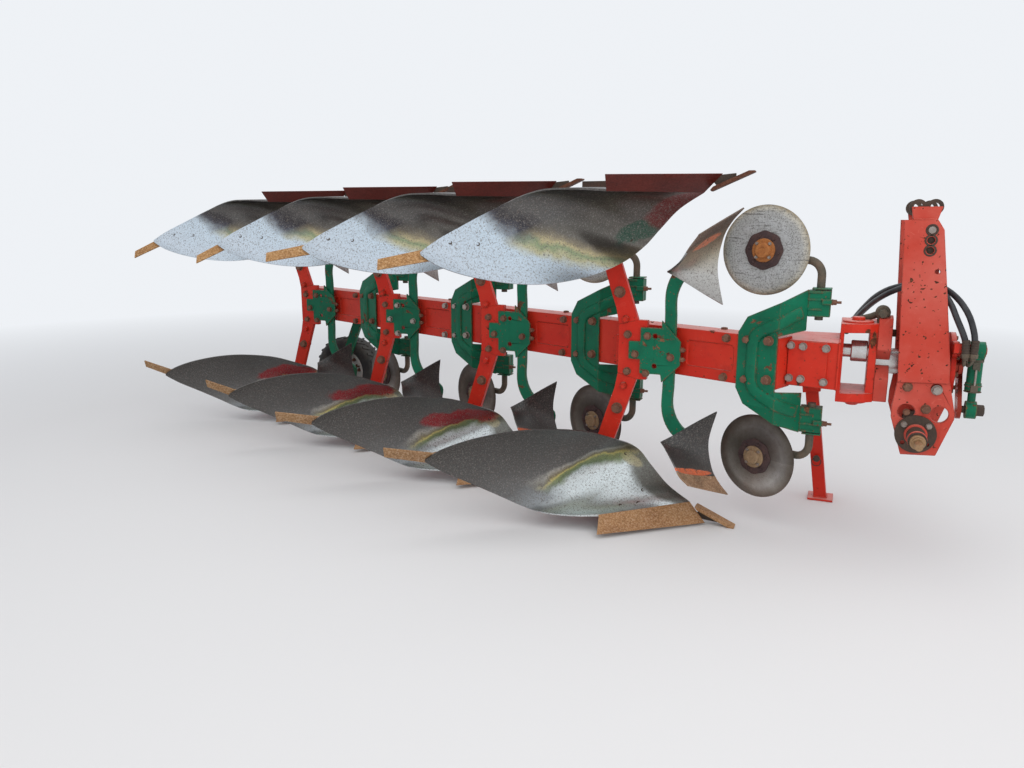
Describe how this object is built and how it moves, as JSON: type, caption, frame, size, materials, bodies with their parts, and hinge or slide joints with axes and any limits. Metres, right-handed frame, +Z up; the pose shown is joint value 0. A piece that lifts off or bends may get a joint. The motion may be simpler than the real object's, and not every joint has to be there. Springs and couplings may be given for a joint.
{
  "type": "moldboard plough",
  "caption": "Reversible mounted plough: box beam, mirrored bodies with moldboards, shares, skimmers and disc coulters, turnover headstock, stand and depth wheel.",
  "frame": {"origin": "on the ground under the middle of the plough's outline", "axes": "+X is the direction of travel, +Y to the left, +Z up"},
  "size_m": [4.9342, 2.3334, 1.6],
  "materials": {
    "red": "worn red-orange paint with chips and rust spots",
    "green": "worn teal green paint with rusty edges",
    "board": "soil-polished steel with light speckle",
    "rust": "brown surface rust on worn steel",
    "iron": "dark rusty steel",
    "steel": "bare steel",
    "tyre": "black rubber",
    "rubber": "black hose rubber"
  },
  "bodies": {
    "frame": {"beam": "red", "leg_carriers": "red", "leg_centres": "red", "legs": "red", "setting_plates": "green", "skimmer_bars": "green", "skimmer_brackets": "iron", "skimmer_boards_lower": "board", "skimmer_boards_upper": "board", "skimmer_shares": "rust", "coulter_brackets": "green", "coulter_clamps": "green", "coulter_stems": "iron", "frogs": "red", "frog_ribs": "red", "landsides": "iron", "moldboards_lower": "board", "moldboards_upper": "board", "shares_lower": "rust", "shares_upper": "rust", "points": "rust", "tailpieces": "rust", "front_box": "red", "swing_casting": "red", "turnover_shaft": "steel", "link_lugs": "red", "stand_sleeve": "red", "wheel_bracket": "green"},
    "headstock": {"tower_plates": "red", "tower_cross": "red", "front_flange": "red", "top_bracket": "red", "top_rings": "iron", "hitch_stubs": "iron", "hitch_pins": "steel", "hose_a": "rubber", "hose_b": "rubber"},
    "barrel": {"cylinder_barrel": "green"},
    "rod": {"cylinder_rod": "iron"},
    "stand": {"stand_leg": "red"},
    "wheel_arm": {"wheel_arm": "green"},
    "wheel": {"wheel_rim": "steel", "wheel_tyre": "tyre"},
    "disc_lower_1": {"disc_lower_1": "iron"},
    "disc_lower_2": {"disc_lower_2": "iron"},
    "disc_lower_3": {"disc_lower_3": "iron"},
    "disc_lower_4": {"disc_lower_4": "iron"},
    "disc_upper_1": {"disc_upper_1": "steel"},
    "disc_upper_2": {"disc_upper_2": "steel"},
    "disc_upper_3": {"disc_upper_3": "steel"},
    "disc_upper_4": {"disc_upper_4": "steel"}
  },
  "joints": [
    {"name": "turnover", "type": "hinge", "parent": "frame", "child": "headstock", "pos_m": [2.2356, -0.2913, 0.8], "axis": [1, 0, 0], "range_deg": [-180, 0]},
    {"name": "cylinder_swing", "type": "hinge", "parent": "headstock", "child": "barrel", "pos_m": [2.4331, -0.40596, 0.88036], "axis": [1, 0, 0], "range_deg": [0, 110]},
    {"name": "cylinder_stroke", "type": "slide", "parent": "barrel", "child": "rod", "axis": [0, -0.0006, -1], "range_m": [0, 0.096]},
    {"name": "stand_lift", "type": "slide", "parent": "frame", "child": "stand", "axis": [-0.1392, 0, 0.9903], "range_m": [0, 0.3]},
    {"name": "wheel_arm_swing", "type": "hinge", "parent": "frame", "child": "wheel_arm", "pos_m": [-1.3644, 0.9537, 0.8], "axis": [0, 1, 0], "range_deg": [0, 133]},
    {"name": "wheel_roll", "type": "hinge", "parent": "wheel_arm", "child": "wheel", "pos_m": [-1.5994, 1.0787, 0.257], "axis": [0, 1, 0], "continuous": true},
    {"name": "roll_lower_1", "type": "hinge", "parent": "frame", "child": "disc_lower_1", "pos_m": [1.59991, -0.37702, 0.333], "axis": [0.454, 0.891, 0], "continuous": true},
    {"name": "roll_lower_2", "type": "hinge", "parent": "frame", "child": "disc_lower_2", "pos_m": [0.71908, -0.02114, 0.333], "axis": [0.454, 0.891, 0], "continuous": true},
    {"name": "roll_lower_3", "type": "hinge", "parent": "frame", "child": "disc_lower_3", "pos_m": [-0.16174, 0.33474, 0.333], "axis": [0.454, 0.891, 0], "continuous": true},
    {"name": "roll_lower_4", "type": "hinge", "parent": "frame", "child": "disc_lower_4", "pos_m": [-1.04256, 0.69061, 0.333], "axis": [0.454, 0.891, 0], "continuous": true},
    {"name": "roll_upper_1", "type": "hinge", "parent": "frame", "child": "disc_upper_1", "pos_m": [1.59093, -0.42231, 1.267], "axis": [0.2756, 0.9613, 0], "continuous": true},
    {"name": "roll_upper_2", "type": "hinge", "parent": "frame", "child": "disc_upper_2", "pos_m": [0.7101, -0.06643, 1.267], "axis": [0.2756, 0.9613, 0], "continuous": true},
    {"name": "roll_upper_3", "type": "hinge", "parent": "frame", "child": "disc_upper_3", "pos_m": [-0.17072, 0.28944, 1.267], "axis": [0.2756, 0.9613, 0], "continuous": true},
    {"name": "roll_upper_4", "type": "hinge", "parent": "frame", "child": "disc_upper_4", "pos_m": [-1.05154, 0.64532, 1.267], "axis": [0.2756, 0.9613, 0], "continuous": true}
  ]
}
